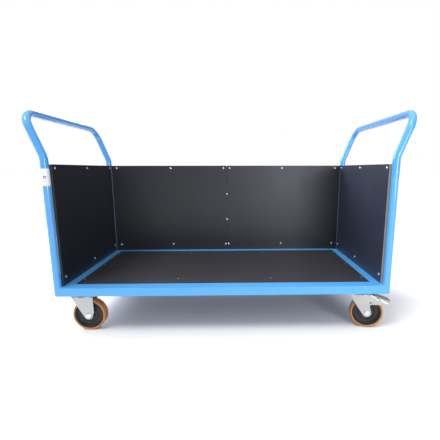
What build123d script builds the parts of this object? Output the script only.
from build123d import *
import os
from math import sin, cos, tan, radians, sqrt

# Platform truck: a welded steel frame on four swivel castors, a flush plywood deck, three
# plywood walls (left, right, back), an open front, and a push handle at each end.
# Millimetres. +X right, +Y back, +Z up, floor at z = 0, middle of the frame at x = y = 0.

# ---- overall sizes
frame_length = 1600.0
frame_width = 800.0
wall_height = 570.0          # walls above the top of the frame

# ---- frame tubes
beam_height = 40.0
front_beam_width = 60.0
rear_beam_width = 80.0
end_beam_width = 80.0
beam_wall = 3.0
cross_member_width = 40.0
cross_member_wall = 2.5
cross_member_offset = 237.0  # each cross member from the middle
ledge_width = 32.0
ledge_thickness = 5.0
corner_plate_length = 165.0
corner_plate_depth = 161.0
corner_plate_thickness = 8.0
corner_plate_inset = 20.0

# ---- handles and rails, round tube
tube_diameter = 33.7
tube_wall = 2.6
handle_bend_above_wall = 29.0
handle_lean = 21.0           # degrees outward
handle_rise = 197.0          # from the lean bend up to the grip bar
handle_corner_radius = 77.0
handle_lean_radius = 90.0
rail_diameter = 26.9
rail_wall = 2.6
rail_below_wall_top = 17.0
centre_post_width = 40.0
centre_post_depth = 25.0
cleat_width = 40.0
cleat_height = 60.0
cleat_thickness = 5.0

# ---- boards
deck_thickness = 15.0
ply_thickness = 12.0
deck_clearance = 1.0
seam = 2.0
side_wall_outset = 6.5       # side walls stand this far out between the posts

# ---- screws and sticker
deck_screw = 6.0
deck_screw_head = 12.0
deck_screw_below = 0.3
deck_screw_side_inset = 14.0
deck_screw_front_inset = 75.0
deck_screw_rear_inset = 70.0
wall_screw = 5.0
wall_screw_head = 13.0
wall_screw_head_height = 4.0
wall_screw_top_inset = 17.0
wall_screw_bottom_inset = 40.0
wall_screw_end_inset = 24.0
back_screw_end_inset = 36.5
back_screw_pair = 20.0
back_screw_middle = 370.0
label_thickness = 0.3
label_height = 77.0
label_below_wall_top = 19.0
label_half_angle = 100.0

# ---- castors
wheel_diameter = 160.0
tread_width = 46.0
tread_thickness = 10.0
tread_rounding = 5.5
core_rim_width = 42.0
hub_diameter = 46.0
hub_width = 52.0
bearing_diameter = 32.0
axle_diameter = 12.0
axle_head = 19.0             # across flats
axle_head_height = 7.5
running_gap = 0.05           # radial, in every bore that turns on a pin
side_gap = 0.5
trail = 24.0
castor_side_inset = 102.0    # swivel axis from the end of the frame
castor_front_inset = 95.0    # swivel axis from the side of the frame
castor_plate_length = 140.0
castor_plate_width = 110.0
castor_plate_thickness = 6.0
bolt_spacing_length = 105.0
bolt_spacing_width = 80.0
castor_bolt = 8.0
castor_bolt_head = 13.0
castor_bolt_head_height = 5.3
race_diameter = 62.0
race_height = 7.0
crown_diameter = 96.0
crown_height = 8.0
fork_thickness = 4.0
fork_rim = 4.0               # slope round the edge of a pressed leg
fork_press_depth = 1.8
fork_foot_radius = 22.0
fork_back_reach = 27.0       # trailing edge of a plain leg, from the axle
fork_lean = 29.0             # degrees, leading edge of a plain leg
braked_fork_lean = 34.0
throat_reach = 13.0          # narrowest place of a braked leg, from the axle
throat_drop = 10.0           # below the horn
wheel_top_gap = 12.0
kingpin_diameter = 12.0
kingpin_head = 22.0
kingpin_head_height = 5.0
swivel_at_rest = {"front_left": 0.0, "front_right": -12.0, "rear_left": 0.0, "rear_right": 0.0}
braked = ("front_right", "rear_right")

# ---- brake pedals: a horn on each fork leg carries the pedal's cross pin
pivot_gap = 9.5              # cross pin centre above the tread
pivot_angle = 47.7           # degrees round the wheel, above level
pedal_pin = 8.0
pedal_pin_head = 14.0
pedal_pin_head_height = 2.0
pedal_cheek = 2.5
pedal_boss = 14.0
pedal_plate = 4.0
pedal_half_width = 29.0
pedal_inner = (-28.0, 27.0)  # top of the pedal plate, from the cross pin: inner end,
pedal_bend = (32.0, 5.0)     # bend, and tip
pedal_tip = (50.0, 0.0)
horn_bottom = -22.0          # horn's edges, from the cross pin
horn_top = 8.0
horn_tip = 40.0
shoe_gap = 6.5
shoe_width = 38.0
shoe_low, shoe_high = 28.0, 41.0     # degrees round the wheel

# ---- derived places
tube_radius = tube_diameter / 2
rail_radius = rail_diameter / 2
wheel_radius = wheel_diameter / 2
crown_bottom = wheel_diameter + wheel_top_gap
crown_top = crown_bottom + fork_thickness + crown_height
plate_bottom = crown_top + race_height
castor_height = plate_bottom + castor_plate_thickness
frame_bottom = castor_height + corner_plate_thickness
frame_top = frame_bottom + beam_height
deck_bottom = frame_top - deck_thickness
wall_top = frame_top + wall_height
half_length = frame_length / 2
half_width = frame_width / 2
post_x = half_length - tube_radius - label_thickness
post_y = half_width - tube_radius - label_thickness
wall_x = post_x - tube_radius + side_wall_outset    # outer face of the side walls
wall_y = post_y - tube_radius            # outer face of the back wall
inner_x = half_length - end_beam_width   # inside of the end beams
inner_front = -half_width + front_beam_width
inner_rear = half_width - rear_beam_width
rail_z = wall_top - rail_below_wall_top
leg_inner = hub_width / 2 + side_gap
leg_outer = leg_inner + fork_thickness
pivot_x = trail + (wheel_radius + pivot_gap) * cos(radians(pivot_angle))
pivot_z = wheel_radius + (wheel_radius + pivot_gap) * sin(radians(pivot_angle))

out = {}


def block(x0, x1, y0, y1, z0, z1):
    """A box between two corners."""
    middle = Pos((x0 + x1) / 2, (y0 + y1) / 2, (z0 + z1) / 2)
    return middle * Box(x1 - x0, y1 - y0, z1 - z0)


def rod(x, y, z0, z1, diameter):
    """An upright round bar."""
    return Pos(x, y, (z0 + z1) / 2) * Cylinder(diameter / 2, z1 - z0)


def rod_x(x0, x1, y, z, diameter):
    """A round bar along X."""
    low, high = min(x0, x1), max(x0, x1)
    return Pos((low + high) / 2, y, z) * Rot(0, 90, 0) * Cylinder(diameter / 2, high - low)


def rod_y(x, y0, y1, z, diameter):
    """A round bar along Y."""
    low, high = min(y0, y1), max(y0, y1)
    return Pos(x, (low + high) / 2, z) * Rot(90, 0, 0) * Cylinder(diameter / 2, high - low)


def rounded_path(points, radii):
    """Straight runs through the points, each inner corner rounded by its radius."""
    edges = []
    start = Vector(*points[0])
    for i in range(1, len(points) - 1):
        corner = Vector(*points[i])
        back = (Vector(*points[i - 1]) - corner).normalized()
        ahead = (Vector(*points[i + 1]) - corner).normalized()
        half = radians(back.get_angle(ahead)) / 2
        reach = radii[i - 1] / tan(half)
        first = corner + back * reach
        last = corner + ahead * reach
        centre = corner + (back + ahead).normalized() * (radii[i - 1] / sin(half))
        middle = centre + (corner - centre).normalized() * radii[i - 1]
        edges.append(Edge.make_line(start, first))
        edges.append(Edge.make_three_point_arc(first, middle, last))
        start = last
    edges.append(Edge.make_line(start, Vector(*points[-1])))
    return Wire(edges)


def pipe(points, radii, diameter, wall):
    """A bent round tube."""
    path = rounded_path(points, radii)
    begin = Plane(origin=path @ 0, z_dir=path % 0)
    outer = sweep(begin * Circle(diameter / 2), path=path)
    inner = sweep(begin * Circle(diameter / 2 - wall), path=path)
    return outer - inner


# ======== frame ========
# The handle posts stand in the frame's corners, and the long beams are coped round them.
post_seats = [rod(sx * post_x, sy * post_y, frame_bottom - 5, frame_top + 5, tube_diameter)
              for sx in (-1, 1) for sy in (-1, 1)]


def long_beam(side, width):
    """Front (side -1) or rear (side 1) rectangular tube with coped, closed ends."""
    near, far = side * half_width, side * (half_width - width)
    beam = block(-half_length, half_length, min(near, far), max(near, far),
                 frame_bottom, frame_top)
    tab = side * (post_y - tube_radius)
    for sx in (-1, 1):
        x0, x1 = sorted((sx * post_x, sx * (half_length + 1)))
        y0, y1 = sorted((side * (half_width + 1), tab))
        beam -= block(x0, x1, y0, y1, frame_bottom - 1, frame_top + 1)
    for seat in post_seats:
        beam -= seat
    reach = post_x - tube_radius - beam_wall
    y0, y1 = sorted((near - side * beam_wall, far + side * beam_wall))
    beam -= block(-reach, reach, y0, y1, frame_bottom + beam_wall, frame_top - beam_wall)
    return beam


out["front_beam"] = long_beam(-1, front_beam_width)
out["rear_beam"] = long_beam(1, rear_beam_width)

for name, sx in (("left", -1), ("right", 1)):
    x0, x1 = sorted((sx * half_length, sx * inner_x))
    beam = block(x0, x1, inner_front, inner_rear, frame_bottom, frame_top)
    beam -= block(x0 + beam_wall, x1 - beam_wall, inner_front + beam_wall, inner_rear - beam_wall,
                  frame_bottom + beam_wall, frame_top - beam_wall)
    out[name + "_end_beam"] = beam

# deck screws: along both ends over the ledges, and two on each cross member
deck_screw_x = inner_x - deck_screw_side_inset
deck_front = inner_front + deck_screw_front_inset
deck_rear = inner_rear - deck_screw_rear_inset
deck_middle = (deck_front + deck_rear) / 2
deck_screws = [(sx * deck_screw_x, y) for sx in (-1, 1) for y in (deck_front, deck_middle, deck_rear)]
deck_screws += [(sx * cross_member_offset, y) for sx in (-1, 1) for y in (deck_front, deck_rear)]

for name, sx in (("left", -1), ("right", 1)):
    # cross member: a lower tube under the deck, from beam to beam
    x = sx * cross_member_offset
    member = block(x - cross_member_width / 2, x + cross_member_width / 2, inner_front, inner_rear,
                   frame_bottom, deck_bottom)
    t = cross_member_wall
    member -= block(x - cross_member_width / 2 + t, x + cross_member_width / 2 - t,
                    inner_front + t, inner_rear - t, frame_bottom + t, deck_bottom - t)
    # ledge: a flat bar welded inside the end beam, carrying the end of the deck
    x0, x1 = sorted((sx * inner_x, sx * (inner_x - ledge_width)))
    ledge = block(x0, x1, inner_front, inner_rear, deck_bottom - ledge_thickness, deck_bottom)
    for px, py in deck_screws:
        member -= rod(px, py, deck_bottom - ledge_thickness, deck_bottom + 1, deck_screw)
        ledge -= rod(px, py, deck_bottom - ledge_thickness - 1, deck_bottom + 1, deck_screw)
    out[name + "_cross_member"] = member
    out[name + "_deck_ledge"] = ledge

# ======== corner plates under the frame, drilled for the castor bolts ========
corners = {"front_left": (-1, -1), "front_right": (1, -1), "rear_left": (-1, 1),
           "rear_right": (1, 1)}
castor_x = half_length - castor_side_inset
castor_y = half_width - castor_front_inset
bolt_places = [(dx * bolt_spacing_length / 2, dy * bolt_spacing_width / 2)
               for dx in (-1, 1) for dy in (-1, 1)]
tapped_depth = corner_plate_thickness - 1.0

plates = []
for sx, sy in corners.values():
    x0, x1 = sorted((sx * (half_length - corner_plate_inset),
                     sx * (half_length - corner_plate_inset - corner_plate_length)))
    y0, y1 = sorted((sy * (half_width - corner_plate_inset),
                     sy * (half_width - corner_plate_inset - corner_plate_depth)))
    plate = block(x0, x1, y0, y1, castor_height, frame_bottom)
    for dx, dy in bolt_places:
        plate -= rod(sx * castor_x + dx, sy * castor_y + dy, castor_height - 1,
                     castor_height + tapped_depth, castor_bolt)
    plates.append(plate)
out["corner_plates"] = Compound(children=plates)

# ======== handles: one bent tube at each end, post, grip bar and post ========
bend_z = wall_top + handle_bend_above_wall
grip_z = bend_z + handle_rise
grip_x = post_x + handle_rise * tan(radians(handle_lean))
for name, sx in (("left", -1), ("right", 1)):
    route = [(sx * post_x, -post_y, frame_bottom), (sx * post_x, -post_y, bend_z),
             (sx * grip_x, -post_y, grip_z), (sx * grip_x, post_y, grip_z),
             (sx * post_x, post_y, bend_z), (sx * post_x, post_y, frame_bottom)]
    bends = [handle_lean_radius, handle_corner_radius, handle_corner_radius, handle_lean_radius]
    out[name + "_handle"] = pipe(route, bends, tube_diameter, tube_wall)

# ======== rails behind the tops of the walls, coped to the posts ========
side_screw_y = [-wall_y + wall_screw_end_inset, 0.0, wall_y - ply_thickness - wall_screw_end_inset]
side_screw_y[1] = (side_screw_y[0] + side_screw_y[2]) / 2
top_screw_z = wall_top - wall_screw_top_inset
bottom_screw_z = frame_top + wall_screw_bottom_inset
back_end_x = wall_x - ply_thickness - back_screw_end_inset
back_rows = [sx * x for x in (back_end_x, back_screw_middle, back_screw_pair) for sx in (-1, 1)]
post_rods = [rod(sx * post_x, sy * post_y, rail_z - 40, rail_z + 40, tube_diameter)
             for sx in (-1, 1) for sy in (-1, 1)]

for name, sx in (("left", -1), ("right", 1)):
    x = sx * (wall_x + rail_radius)
    rail = rod_y(x, -post_y, post_y, rail_z, rail_diameter)
    rail -= rod_y(x, -post_y, post_y, rail_z, rail_diameter - 2 * rail_wall)
    for post in post_rods:
        rail -= post
    for y in side_screw_y:
        rail -= rod_x(x, sx * (wall_x - 1), y, top_screw_z, wall_screw)
    out[name + "_end_rail"] = rail

y = wall_y + rail_radius
rail = rod_x(-post_x, post_x, y, rail_z, rail_diameter)
rail -= rod_x(-post_x, post_x, y, rail_z, rail_diameter - 2 * rail_wall)
for post in post_rods:
    rail -= post
for sx in (-1, 1):
    rail -= rod_y(sx * (wall_x + rail_radius), 0, half_width, rail_z, rail_diameter)
for x in back_rows:
    rail -= rod_y(x, wall_y - 1, y, top_screw_z, wall_screw)
out["back_top_rail"] = rail

# centre post behind the seam of the back wall, coped under the rail
seam_screw_z = [frame_top + wall_height * 0.37, frame_top + wall_height * 0.67]
post_top = min(rail_z, top_screw_z - wall_screw)
post = block(-centre_post_width / 2, centre_post_width / 2, wall_y, wall_y + centre_post_depth,
             frame_top, post_top)
t = cross_member_wall
post -= block(-centre_post_width / 2 + t, centre_post_width / 2 - t, wall_y + t,
              wall_y + centre_post_depth - t, frame_top + t, rail_z + 1)
post -= rod_x(-centre_post_width, centre_post_width, y, rail_z, rail_diameter)
for z in seam_screw_z:
    post -= rod_y(0, wall_y - 1, wall_y + t + 1, z, wall_screw)
for x in (-back_screw_pair / 2, back_screw_pair / 2):
    post -= rod_y(x, wall_y - 1, wall_y + t + 1, bottom_screw_z, wall_screw)
out["back_centre_post"] = post

# ======== cleats: tabs welded on the frame behind the bottom of the walls ========
for name, sx in (("left", -1), ("right", 1)):
    tabs = []
    for y in side_screw_y:
        x0, x1 = sorted((sx * wall_x, sx * (wall_x + cleat_thickness)))
        tab = block(x0, x1, y - cleat_width / 2, y + cleat_width / 2, frame_top,
                    frame_top + cleat_height)
        tabs.append(tab - rod_x(x0 - 1, x1 + 1, y, bottom_screw_z, wall_screw))
    out[name + "_wall_cleats"] = Compound(children=tabs)
tabs = []
for x in back_rows[:4]:
    tab = block(x - cleat_width / 2, x + cleat_width / 2, wall_y, wall_y + cleat_thickness,
                frame_top, frame_top + cleat_height)
    tabs.append(tab - rod_y(x, wall_y - 1, wall_y + cleat_thickness + 1, bottom_screw_z, wall_screw))
out["back_wall_cleats"] = Compound(children=tabs)

# ======== deck board, flush with the frame ========
deck = block(-inner_x + deck_clearance, inner_x - deck_clearance, inner_front + deck_clearance,
             inner_rear - deck_clearance, deck_bottom, frame_top)
screws = []
sink = (deck_screw_head - deck_screw) / 2
for x, y in deck_screws:
    top = frame_top - deck_screw_below
    cone = Pos(x, y, top - sink / 2) * Cone(deck_screw / 2, deck_screw_head / 2, sink)
    deck -= cone + rod(x, y, deck_bottom - 1, top - sink, deck_screw)
    deck -= rod(x, y, top, frame_top + 1, deck_screw_head)
    shank = rod(x, y, deck_bottom - ledge_thickness, top - sink, deck_screw)
    socket = rod(x, y, top - 1.5, top + 1, deck_screw_head * 0.4)
    screws.append(cone + shank - socket)
out["deck_panel"] = deck
out["deck_screws"] = Compound(children=screws)


# ======== walls ========
def round_screw(direction, length):
    """A round-headed screw standing on the plane z = 0, head up, shank down."""
    radius = (wall_screw_head ** 2 / 4 + wall_screw_head_height ** 2) / (2 * wall_screw_head_height)
    ball = Pos(0, 0, wall_screw_head_height - radius) * Sphere(radius)
    head = ball & Pos(0, 0, wall_screw_head_height / 2) * Cylinder(radius, wall_screw_head_height)
    socket = Pos(0, 0, wall_screw_head_height - 0.8) * Cylinder(wall_screw_head * 0.16, 2.4)
    shank = Pos(0, 0, -length / 2) * Cylinder(wall_screw / 2, length)
    return direction * (head - socket + shank)


screw_reach = ply_thickness + cleat_thickness
for name, sx in (("left", -1), ("right", 1)):
    x0, x1 = sorted((sx * wall_x, sx * (wall_x - ply_thickness)))
    wall = block(x0, x1, -wall_y, wall_y - ply_thickness, frame_top, wall_top)
    screws = []
    for y in side_screw_y:
        for z in (bottom_screw_z, top_screw_z):
            wall -= rod_x(x0 - 1, x1 + 1, y, z, wall_screw)
            place = Pos(sx * (wall_x - ply_thickness), y, z)
            screws.append(place * round_screw(Rot(0, -sx * 90, 0), screw_reach))
    out[name + "_wall"] = wall
    out[name + "_wall_screws"] = Compound(children=screws)

places = [(x, z) for x in back_rows for z in (bottom_screw_z, top_screw_z)]
places = [(x / 2 if abs(x) == back_screw_pair and z == bottom_screw_z else x, z) for x, z in places]
places += [(0.0, z) for z in seam_screw_z]
for name, sx in (("left", -1), ("right", 1)):
    x0, x1 = sorted((sx * seam / 2, sx * wall_x))
    wall = block(x0, x1, wall_y - ply_thickness, wall_y, frame_top, wall_top)
    for x, z in places:
        wall -= rod_y(x, wall_y - ply_thickness - 1, wall_y + 1, z, wall_screw)
    out["back_wall_" + name] = wall
out["back_wall_screws"] = Compound(children=[
    Pos(x, wall_y - ply_thickness, z) * round_screw(Rot(90, 0, 0), screw_reach) for x, z in places])

# ======== sticker wrapped round the front of the left post ========
z0 = wall_top - label_below_wall_top - label_height
band = rod(-post_x, -post_y, z0, z0 + label_height, tube_diameter + 2 * label_thickness)
band -= rod(-post_x, -post_y, z0 - 1, z0 + label_height + 1, tube_diameter)
far = tube_diameter * 2
edge = [(0, 0)] + [(far * sin(radians(a)), -far * cos(radians(a)))
                   for a in (-label_half_angle, -50, 0, 50, label_half_angle)]
sector = Pos(-post_x, -post_y, z0) * extrude(make_face(Polyline(*edge, close=True)), label_height)
out["label"] = band & sector

# ======== castors ========
plate_top = castor_height


def hexagon(flats, height):
    """A hexagonal head standing on the plane z = 0."""
    head = extrude(RegularPolygon(flats / 2, 6, major_radius=False), height)
    return head & Pos(0, 0, height / 2) * Cylinder(flats * 0.555, height)


def castor_plate():
    """Top plate with its ball race and the riveted kingpin."""
    plate = Pos(0, 0, plate_bottom + castor_plate_thickness / 2) * Box(
        castor_plate_length, castor_plate_width, castor_plate_thickness)
    plate = fillet(plate.edges().filter_by(Axis.Z), 12)
    for dx, dy in bolt_places:
        plate -= rod(dx, dy, plate_bottom - 1, plate_top + 1, castor_bolt)
    race = rod(0, 0, crown_top, plate_bottom, race_diameter)
    pin = rod(0, 0, crown_bottom, crown_top, kingpin_diameter)
    head = rod(0, 0, crown_bottom - kingpin_head_height, crown_bottom, kingpin_head)
    head = chamfer(head.edges().group_by(Axis.Z)[0], 1.5)
    return plate + race + pin + head


upright = Plane(origin=(0, 0, 0), x_dir=(1, 0, 0), z_dir=(0, -1, 0))
leg_top = crown_bottom + fork_thickness


def leading_edge(with_brake):
    """The straight front edge of a fork leg, as its foot and its top, x and z."""
    lean = radians(braked_fork_lean if with_brake else fork_lean)
    foot_x = trail - fork_foot_radius * cos(lean)
    foot_z = wheel_radius - fork_foot_radius * sin(lean)
    return (foot_x, foot_z), (foot_x - (leg_top - foot_z) * tan(lean), leg_top)


def leg_outline(with_brake):
    """Side view of a fork leg, x and z from the swivel axis."""
    foot, top = leading_edge(with_brake)
    heel = (trail + fork_foot_radius, wheel_radius)
    back = trail + fork_back_reach
    if with_brake:
        low = pivot_z + horn_bottom
        tip = pivot_x + horn_tip
        throat = trail + throat_reach
        edge = [heel, (throat, low - throat_drop), (throat + 2, low - 4), (throat + 6, low),
                (tip - 6, low + 3), (tip, low + 7), (tip, low + 11),
                (pivot_x + 6, pivot_z + horn_top), (pivot_x - 12, pivot_z + horn_top + 2),
                (back - 6, leg_top), top, foot]
    else:
        edge = [heel, (back, wheel_radius + 14), (back, leg_top), top, foot]
    sole = ThreePointArc(foot, (trail, wheel_radius - fork_foot_radius), heel)
    return make_face(Polyline(*edge) + sole)


def leg(side, with_brake):
    """One pressed fork leg: flat, with its edges sloping back round the outer face."""
    outline = leg_outline(with_brake)
    flat = fork_thickness - fork_press_depth
    panel = offset(outline, amount=-fork_rim, kind=Kind.INTERSECTION)
    outer = side * leg_outer
    inner_face = upright.offset(-side * leg_inner)
    step_face = upright.offset(-side * (leg_inner + flat))
    outer_face = upright.offset(-outer)
    plate = extrude(inner_face * outline, -side * flat)
    plate += loft([step_face * outline, outer_face * panel])
    plate += rod_y(trail, side * leg_inner, outer, wheel_radius, axle_head + 8)
    if with_brake:
        plate += rod_y(pivot_x, side * leg_inner, outer, pivot_z, pedal_pin_head)
    return plate - rod_y(trail, -leg_outer - 1, leg_outer + 1, wheel_radius, axle_diameter)


def fork(with_brake):
    """Crown and two legs; a braked castor also has the pedal's riveted cross pin."""
    lead_x = leading_edge(with_brake)[1][0]
    tail_x = trail + fork_back_reach - (6 if with_brake else 0)
    bridge = block(lead_x, tail_x, -leg_inner, leg_inner, crown_bottom, leg_top)
    dish = rod(0, 0, crown_bottom, crown_top, crown_diameter)
    dish = fillet(dish.edges().group_by(Axis.Z)[-1], 6)
    body = bridge + dish + leg(-1, with_brake) + leg(1, with_brake)
    body -= rod(0, 0, crown_bottom - 1, crown_top + 1, kingpin_diameter + 2 * running_gap)
    if with_brake:
        body += rod_y(pivot_x, -leg_outer, leg_outer, pivot_z, pedal_pin)
        for side in (-1, 1):
            body += rod_y(pivot_x, side * leg_outer, side * (leg_outer + pedal_pin_head_height),
                          pivot_z, pedal_pin_head)
    return body


def axle():
    """Axle bolt with its hexagonal head in front and nut behind."""
    shank = rod_y(trail, -leg_outer, leg_outer + axle_head_height + 3, wheel_radius, axle_diameter)
    head = Pos(trail, -leg_outer, wheel_radius) * Rot(90, 0, 0) * hexagon(axle_head, axle_head_height)
    nut = Pos(trail, leg_outer, wheel_radius) * Rot(-90, 0, 0) * hexagon(axle_head, axle_head_height + 1)
    return shank + head + nut


def ring(profile):
    """A body of revolution about the axle; the profile is given as (radius, width) points."""
    face = make_face(Polyline(*profile, close=True))
    turned = revolve(Plane.XY * face, Axis.Y)
    return Pos(trail, 0, wheel_radius) * turned


core_radius = wheel_radius - tread_thickness


def wheel_core():
    """Moulded wheel centre: hub, dished web with two raised rings, rim."""
    half = [(bearing_diameter / 2, hub_width / 2 - 3), (bearing_diameter / 2, hub_width / 2),
            (hub_diameter / 2 - 2, hub_width / 2), (hub_diameter / 2, hub_width / 2 - 2),
            (hub_diameter / 2 + 2, 11), (core_radius * 0.52, 10), (core_radius * 0.55, 13),
            (core_radius * 0.60, 13), (core_radius * 0.63, 10), (core_radius - 9, 10),
            (core_radius - 6, core_rim_width / 2), (core_radius, core_rim_width / 2)]
    profile = half + [(r, -w) for r, w in reversed(half)]
    return ring(profile)


def wheel_bearing():
    """Ball bearing insert in the hub."""
    inner = axle_diameter / 2 + running_gap
    outer = bearing_diameter / 2
    w = hub_width / 2
    half = [(inner, w), (inner + 3.5, w), (inner + 4.5, w - 1.2), (outer - 2.5, w - 1.2),
            (outer - 1.5, w - 0.3), (outer, w - 0.3)]
    return ring(half + [(r, -h) for r, h in reversed(half)])


def wheel_tread():
    """Cast tyre with rounded shoulders."""
    w = tread_width / 2
    block_face = make_face(Polyline((core_radius, -w), (wheel_radius, -w), (wheel_radius, w),
                                    (core_radius, w), close=True))
    shoulders = block_face.vertices().filter_by(lambda v: v.X > wheel_radius - 0.1)
    turned = revolve(Plane.XY * fillet(shoulders, tread_rounding), Axis.Y)
    return Pos(trail, 0, wheel_radius) * turned


def shoe_points(radius, angle):
    return (trail + radius * cos(radians(angle)), wheel_radius + radius * sin(radians(angle)))


def from_pin(point, drop=0.0):
    """A place in the pedal's side view, measured from the cross pin."""
    return (pivot_x + point[0], pivot_z + point[1] - drop)


def brake_pedal():
    """Foot lever: a cranked plate over the horns, on two cheeks between them."""
    profile = Polyline(from_pin(pedal_inner), from_pin(pedal_bend), from_pin(pedal_tip),
                       from_pin(pedal_tip, pedal_plate), from_pin(pedal_bend, pedal_plate + 0.4),
                       from_pin(pedal_inner, pedal_plate + 0.4), close=True)
    plate = Pos(0, pedal_half_width, 0) * extrude(upright * make_face(profile), 2 * pedal_half_width)
    plate = fillet(plate.edges().filter_by(Axis.Z).group_by(Axis.X)[-1], 10)
    slope = (pedal_bend[1] - pedal_inner[1]) / (pedal_bend[0] - pedal_inner[0])
    body = plate
    ribs = 4
    for k in range(ribs):
        x = pedal_bend[0] + (pedal_tip[0] - pedal_bend[0]) * (k + 0.7) / (ribs + 1)
        z = pedal_bend[1] + (pedal_tip[1] - pedal_bend[1]) * (x - pedal_bend[0]) / (
            pedal_tip[0] - pedal_bend[0])
        body += rod_y(pivot_x + x, 4 - pedal_half_width, pedal_half_width - 4, pivot_z + z, 2.4)
    r = pedal_boss / 2
    left, right = -r, pedal_bend[0] - 6
    cheek = Polyline(from_pin((left, 0)), from_pin((left, pedal_inner[1] + (left - pedal_inner[0]) * slope - 2)),
                     from_pin((right, pedal_inner[1] + (right - pedal_inner[0]) * slope - 2)),
                     from_pin((r, 0)), close=True)
    face = upright * (make_face(cheek) + Pos(pivot_x, pivot_z) * Circle(r))
    for low in (-leg_inner + side_gap, leg_inner - side_gap - pedal_cheek):
        body += Pos(0, low + pedal_cheek, 0) * extrude(face, pedal_cheek)
    return body - rod_y(pivot_x, -leg_inner, leg_inner, pivot_z, pedal_pin + 2 * running_gap)


def brake_shoe():
    """Block under the pedal plate that presses on the tread."""
    r = wheel_radius + shoe_gap
    low, high = shoe_points(r, shoe_low), shoe_points(r, shoe_high)
    mid = shoe_points(r, (shoe_low + shoe_high) / 2)
    slope = (pedal_bend[1] - pedal_inner[1]) / (pedal_bend[0] - pedal_inner[0])
    clear = pedal_pin / 2 + 5
    under = pedal_inner[1] - pedal_plate - 0.4 - pedal_inner[0] * slope
    arc = ThreePointArc(low, mid, high)
    sides = Polyline(high, from_pin((clear, -2)), from_pin((clear, under + clear * slope)),
                     from_pin((clear + 14, under + (clear + 14) * slope)), (low[0] + 9, low[1] + 7), low)
    face = make_face(arc + sides)
    return Pos(0, shoe_width / 2, 0) * extrude(upright * face, shoe_width)


bolts = []
for corner, (sx, sy) in corners.items():
    fixed = Pos(sx * castor_x, sy * castor_y, 0)
    swung = fixed * Rot(0, 0, swivel_at_rest[corner])
    out["castor_plate_" + corner] = fixed * castor_plate()
    out["fork_" + corner] = swung * fork(corner in braked)
    out["axle_" + corner] = swung * axle()
    out["wheel_core_" + corner] = swung * wheel_core()
    out["wheel_bearing_" + corner] = swung * wheel_bearing()
    out["wheel_tread_" + corner] = swung * wheel_tread()
    if corner in braked:
        out["brake_pedal_" + corner] = swung * brake_pedal()
        out["brake_shoe_" + corner] = swung * brake_shoe()
    for dx, dy in bolt_places:
        shank = rod(dx, dy, plate_bottom, plate_top + tapped_depth, castor_bolt)
        head = Pos(dx, dy, plate_bottom) * Rot(180, 0, 0) * hexagon(castor_bolt_head,
                                                                    castor_bolt_head_height)
        bolts.append(fixed * (shank + head))
out["castor_bolts"] = Compound(children=bolts)

# ======== one file for each piece ========
os.makedirs("parts", exist_ok=True)
for name, shape in out.items():
    shape.label = name
    export_step(shape, "parts/" + name + ".step")
